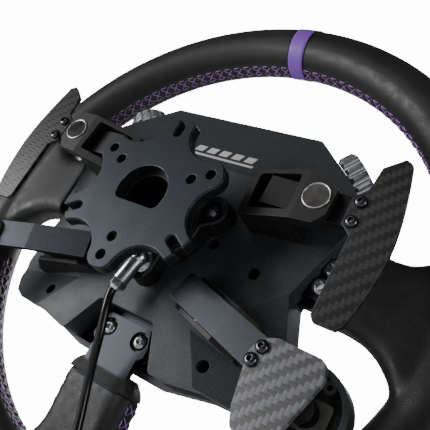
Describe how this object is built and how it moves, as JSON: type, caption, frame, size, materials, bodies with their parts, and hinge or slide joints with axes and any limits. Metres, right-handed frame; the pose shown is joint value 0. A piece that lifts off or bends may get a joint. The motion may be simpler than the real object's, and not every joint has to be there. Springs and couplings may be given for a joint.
{
  "type": "quick release steering wheel",
  "caption": "Round leather steering wheel on three spokes with a control housing, star shaped hub plate, shifter and clutch paddles and a plug-in cable.",
  "frame": {"origin": "centre of the hub plate's mounting face, on the wheel axis", "axes": "+Y along the wheel axis away from the driver, +Z towards twelve o'clock, +X to the driver's right"},
  "size_m": [0.315, 0.087, 0.4425],
  "materials": {
    "hub_aluminium": "bead blasted, anodised",
    "black_aluminium": "satin black anodised",
    "brushed_aluminium": "brushed",
    "steel": "bright",
    "black_steel": "black oxide",
    "black_leather": "fine satin grain",
    "purple_leather": "satin",
    "housing_plastic": "fine texture",
    "board": "solder mask",
    "dark_carbon": "twill weave under satin resin",
    "light_carbon": "silver twill weave",
    "encoder_body": "moulded",
    "magnet_nickel": "nickel plate",
    "chrome": "polished",
    "cable_jacket": "smooth jacket",
    "tie_fabric": "hook and loop",
    "plug_plastic": "moulded",
    "button_plastic": "satin"
  },
  "bodies": {
    "wheel": {"hub_adapter": "hub_aluminium", "hub_boss": "black_aluminium", "hub_cap_screws": "steel", "centre_frame": "brushed_aluminium", "rim_frame": "brushed_aluminium", "spoke_screws": "steel", "rim_grip": "black_leather", "marker_band": "purple_leather", "spoke_wrap_right": "black_leather", "spoke_wrap_left": "black_leather", "spoke_wrap_bottom": "black_leather", "spoke_collar": "black_leather", "rear_cover": "housing_plastic", "front_case": "housing_plastic", "circuit_board": "board", "front_plate": "dark_carbon", "button_bezels": "black_aluminium", "centre_cap": "black_aluminium", "pod": "housing_plastic", "encoders": "encoder_body", "front_screws": "black_steel", "shifter_bracket_right": "black_aluminium", "shifter_bracket_left": "black_aluminium", "housing_screws": "black_steel", "shifter_magnets": "magnet_nickel", "clutch_bracket_right": "black_aluminium", "clutch_bracket_left": "black_aluminium", "paddle_pins": "steel", "cable_socket": "black_aluminium", "cable_plug": "chrome", "cable": "cable_jacket", "cable_tail": "cable_jacket", "cable_coil": "cable_jacket", "coil_tie": "tie_fabric", "usb_plug": "plug_plastic"},
    "shifter_right": {"shifter_arm_right": "black_aluminium", "shifter_blade_right": "dark_carbon", "shifter_screws_right": "black_steel"},
    "clutch_right": {"clutch_arm_right": "brushed_aluminium", "clutch_blade_right": "light_carbon", "clutch_screws_right": "black_steel"},
    "shifter_left": {"shifter_arm_left": "black_aluminium", "shifter_blade_left": "dark_carbon", "shifter_screws_left": "black_steel"},
    "clutch_left": {"clutch_arm_left": "brushed_aluminium", "clutch_blade_left": "light_carbon", "clutch_screws_left": "black_steel"},
    "thumb_roller_right": {"thumb_roller_right": "chrome"},
    "thumb_roller_left": {"thumb_roller_left": "chrome"},
    "pod_knob": {"pod_knob": "black_aluminium"},
    "button_upper_inner_right": {"button_upper_inner_right": "button_plastic"},
    "button_upper_inner_left": {"button_upper_inner_left": "button_plastic"},
    "button_upper_outer_right": {"button_upper_outer_right": "button_plastic"},
    "button_upper_outer_left": {"button_upper_outer_left": "button_plastic"},
    "button_middle_right": {"button_middle_right": "button_plastic"},
    "button_middle_left": {"button_middle_left": "button_plastic"},
    "button_lower_right": {"button_lower_right": "button_plastic"},
    "button_lower_left": {"button_lower_left": "button_plastic"}
  },
  "joints": [
    {"name": "shifter_right_pull", "type": "hinge", "parent": "wheel", "child": "shifter_right", "pos_m": [0.052, -0.0245, 0.026], "axis": [0, 0, -1], "range_deg": [0, 5], "stiffness_Nm_per_rad": 2, "springref_deg": -5.73},
    {"name": "clutch_right_pull", "type": "hinge", "parent": "wheel", "child": "clutch_right", "pos_m": [0.0455, -0.029, -0.03258], "axis": [-0.2756, 0, -0.9613], "range_deg": [0, 20], "stiffness_Nm_per_rad": 1, "springref_deg": -11.46},
    {"name": "shifter_left_pull", "type": "hinge", "parent": "wheel", "child": "shifter_left", "pos_m": [-0.052, -0.0245, 0.026], "axis": [0, 0, 1], "range_deg": [0, 5], "stiffness_Nm_per_rad": 2, "springref_deg": -5.73},
    {"name": "clutch_left_pull", "type": "hinge", "parent": "wheel", "child": "clutch_left", "pos_m": [-0.0455, -0.029, -0.03258], "axis": [-0.2756, 0, 0.9613], "range_deg": [0, 20], "stiffness_Nm_per_rad": 1, "springref_deg": -11.46},
    {"name": "thumb_roller_right_turn", "type": "hinge", "parent": "wheel", "child": "thumb_roller_right", "pos_m": [0.0663, -0.053, 0.05897], "axis": [0.6347, 0, 0.7727], "continuous": true},
    {"name": "thumb_roller_left_turn", "type": "hinge", "parent": "wheel", "child": "thumb_roller_left", "pos_m": [-0.0663, -0.053, 0.05897], "axis": [-0.6347, 0, 0.7727], "continuous": true},
    {"name": "pod_knob_turn", "type": "hinge", "parent": "wheel", "child": "pod_knob", "pos_m": [-0.0915, -0.08, -0.05], "axis": [0, -1, 0], "continuous": true},
    {"name": "button_upper_inner_right_press", "type": "slide", "parent": "wheel", "child": "button_upper_inner_right", "axis": [0, 1, 0], "range_m": [0, 0.0015], "stiffness_N_per_m": 600, "springref_m": -0.001},
    {"name": "button_upper_inner_left_press", "type": "slide", "parent": "wheel", "child": "button_upper_inner_left", "axis": [0, 1, 0], "range_m": [0, 0.0015], "stiffness_N_per_m": 600, "springref_m": -0.001},
    {"name": "button_upper_outer_right_press", "type": "slide", "parent": "wheel", "child": "button_upper_outer_right", "axis": [0, 1, 0], "range_m": [0, 0.0015], "stiffness_N_per_m": 600, "springref_m": -0.001},
    {"name": "button_upper_outer_left_press", "type": "slide", "parent": "wheel", "child": "button_upper_outer_left", "axis": [0, 1, 0], "range_m": [0, 0.0015], "stiffness_N_per_m": 600, "springref_m": -0.001},
    {"name": "button_middle_right_press", "type": "slide", "parent": "wheel", "child": "button_middle_right", "axis": [0, 1, 0], "range_m": [0, 0.0015], "stiffness_N_per_m": 600, "springref_m": -0.001},
    {"name": "button_middle_left_press", "type": "slide", "parent": "wheel", "child": "button_middle_left", "axis": [0, 1, 0], "range_m": [0, 0.0015], "stiffness_N_per_m": 600, "springref_m": -0.001},
    {"name": "button_lower_right_press", "type": "slide", "parent": "wheel", "child": "button_lower_right", "axis": [0, 1, 0], "range_m": [0, 0.0015], "stiffness_N_per_m": 600, "springref_m": -0.001},
    {"name": "button_lower_left_press", "type": "slide", "parent": "wheel", "child": "button_lower_left", "axis": [0, 1, 0], "range_m": [0, 0.0015], "stiffness_N_per_m": 600, "springref_m": -0.001}
  ]
}
